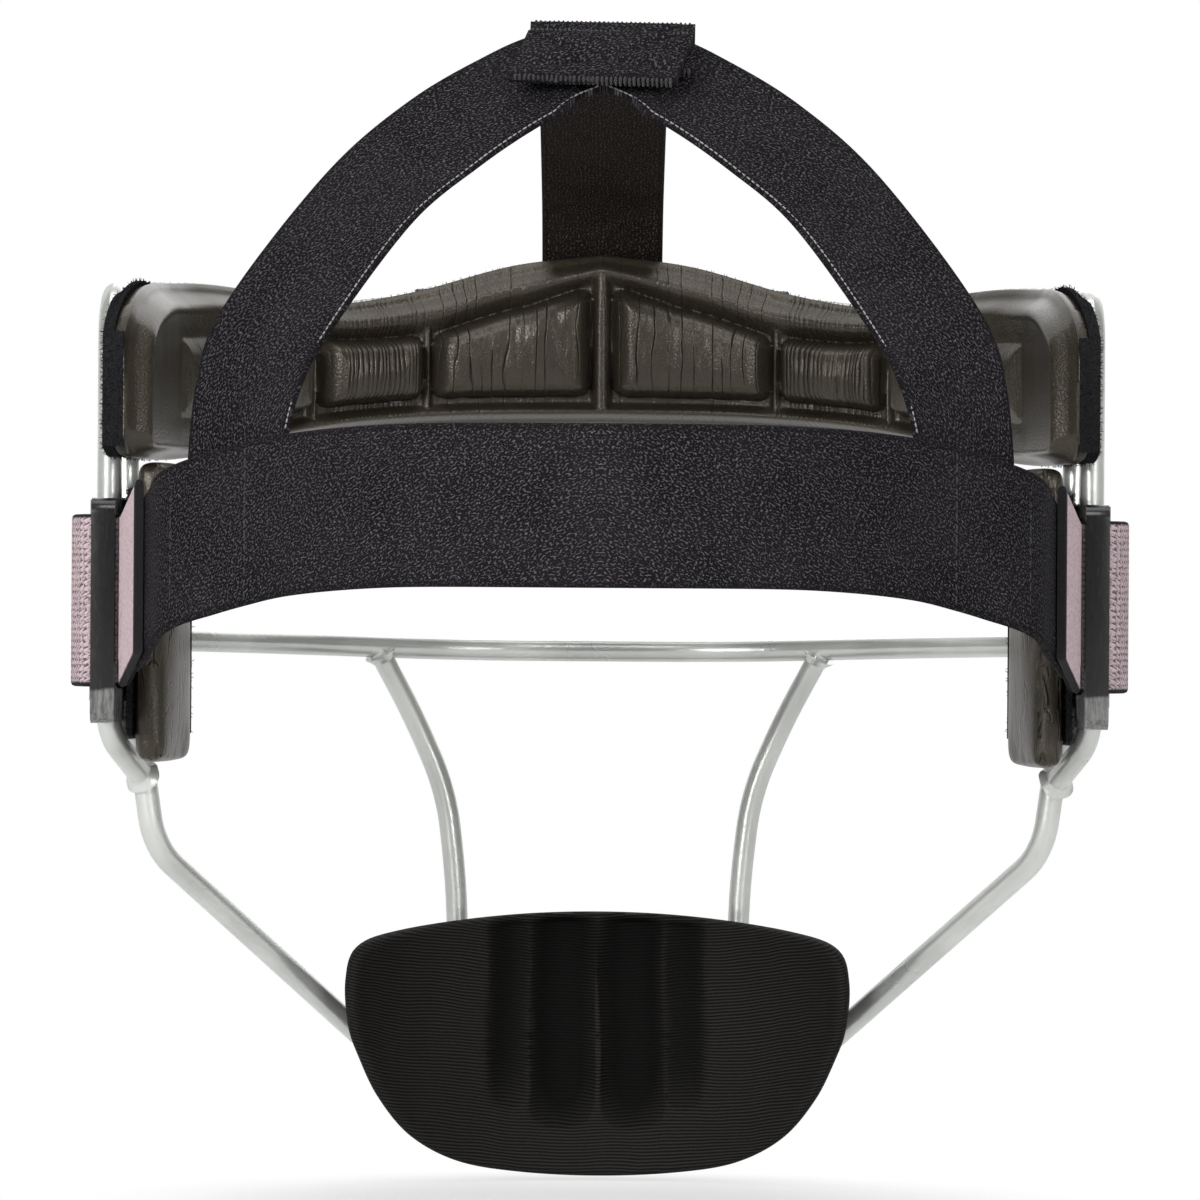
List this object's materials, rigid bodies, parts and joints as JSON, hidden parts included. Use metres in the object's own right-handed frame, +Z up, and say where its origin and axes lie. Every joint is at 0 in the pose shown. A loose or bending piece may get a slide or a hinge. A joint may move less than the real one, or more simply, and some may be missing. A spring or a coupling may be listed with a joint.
{
  "type": "softball face guard",
  "caption": "Open wire face mask with forehead, cheek and chin pads, elastic rear band and crown straps that hold it on the head",
  "frame": {"origin": "inside the head space, midway between the two buckles, level with the temples", "axes": "+X to the wearer's right as seen from behind, +Y the way the face looks, +Z up"},
  "size_m": [0.2062, 0.2023, 0.2295],
  "materials": {
    "wire_paint": "satin silver paint on steel wire",
    "hook_tape": "black hook tape",
    "pad_skin": "dark olive brown leather-like skin on foam",
    "loop_cloth": "fuzzy black loop cloth",
    "cup_cloth": "fine ribbed near-black cloth",
    "buckle_plastic": "black moulded plastic",
    "hook_strap": "pinkish grey knitted strap with black edges",
    "elastic": "charcoal elastic with fine speckle",
    "webbing": "charcoal ribbed webbing",
    "patch_cloth": "charcoal webbing with fuzzy edge"
  },
  "bodies": {
    "frame": {"crown_bar": "wire_paint", "jaw_bar": "wire_paint", "brow_bar": "wire_paint", "eye_bar": "wire_paint", "upright_left": "wire_paint", "upright_right": "wire_paint", "forehead_hook_tape": "hook_tape", "cheek_hook_tape": "hook_tape", "chin_hook_tape": "hook_tape", "rear_band": "elastic", "crown_strap_left": "webbing", "crown_strap_right": "webbing", "front_strap": "webbing", "crown_patch": "patch_cloth"},
    "forehead_pad": {"forehead_pad": "pad_skin", "forehead_pad_backing": "loop_cloth"},
    "cheek_pad_left": {"cheek_pad_left": "pad_skin", "cheek_pad_backing_left": "loop_cloth"},
    "cheek_pad_right": {"cheek_pad_right": "pad_skin", "cheek_pad_backing_right": "loop_cloth"},
    "chin_cup": {"chin_cup": "cup_cloth", "chin_cup_backing": "loop_cloth"},
    "buckle_left": {"buckle_left": "buckle_plastic", "strap_loop_left": "hook_strap"},
    "buckle_right": {"buckle_right": "buckle_plastic", "strap_loop_right": "hook_strap"},
    "strap_tab_left": {"strap_tab_left": "hook_strap"},
    "strap_tab_right": {"strap_tab_right": "hook_strap"},
    "crown_flap": {"crown_flap": "patch_cloth"}
  },
  "joints": [
    {"name": "forehead_pad_pull", "type": "slide", "parent": "frame", "child": "forehead_pad", "axis": [0, -1, 0], "range_m": [0, 0.015]},
    {"name": "chin_cup_pull", "type": "slide", "parent": "frame", "child": "chin_cup", "axis": [0, -1, 0], "range_m": [0, 0.012]},
    {"name": "cheek_pad_left_pull", "type": "slide", "parent": "frame", "child": "cheek_pad_left", "axis": [1, 0, 0], "range_m": [0, 0.01]},
    {"name": "buckle_left_swing", "type": "hinge", "parent": "frame", "child": "buckle_left", "pos_m": [-0.097, 0.02415, -0.0027], "axis": [0, 0, -1], "range_deg": [0, 20]},
    {"name": "strap_tab_left_peel", "type": "hinge", "parent": "buckle_left", "child": "strap_tab_left", "pos_m": [-0.092, -0.00913, -0.00075], "axis": [0, 0, -1], "range_deg": [0, 50]},
    {"name": "cheek_pad_right_pull", "type": "slide", "parent": "frame", "child": "cheek_pad_right", "axis": [-1, 0, 0], "range_m": [0, 0.01]},
    {"name": "buckle_right_swing", "type": "hinge", "parent": "frame", "child": "buckle_right", "pos_m": [0.097, 0.02415, -0.0027], "axis": [0, 0, 1], "range_deg": [0, 20]},
    {"name": "strap_tab_right_peel", "type": "hinge", "parent": "buckle_right", "child": "strap_tab_right", "pos_m": [0.092, -0.00913, -0.00075], "axis": [0, 0, 1], "range_deg": [0, 50]},
    {"name": "crown_flap_peel", "type": "hinge", "parent": "frame", "child": "crown_flap", "pos_m": [0, -0.02325, 0.1083], "axis": [-1, 0, 0], "range_deg": [0, 75]}
  ]
}
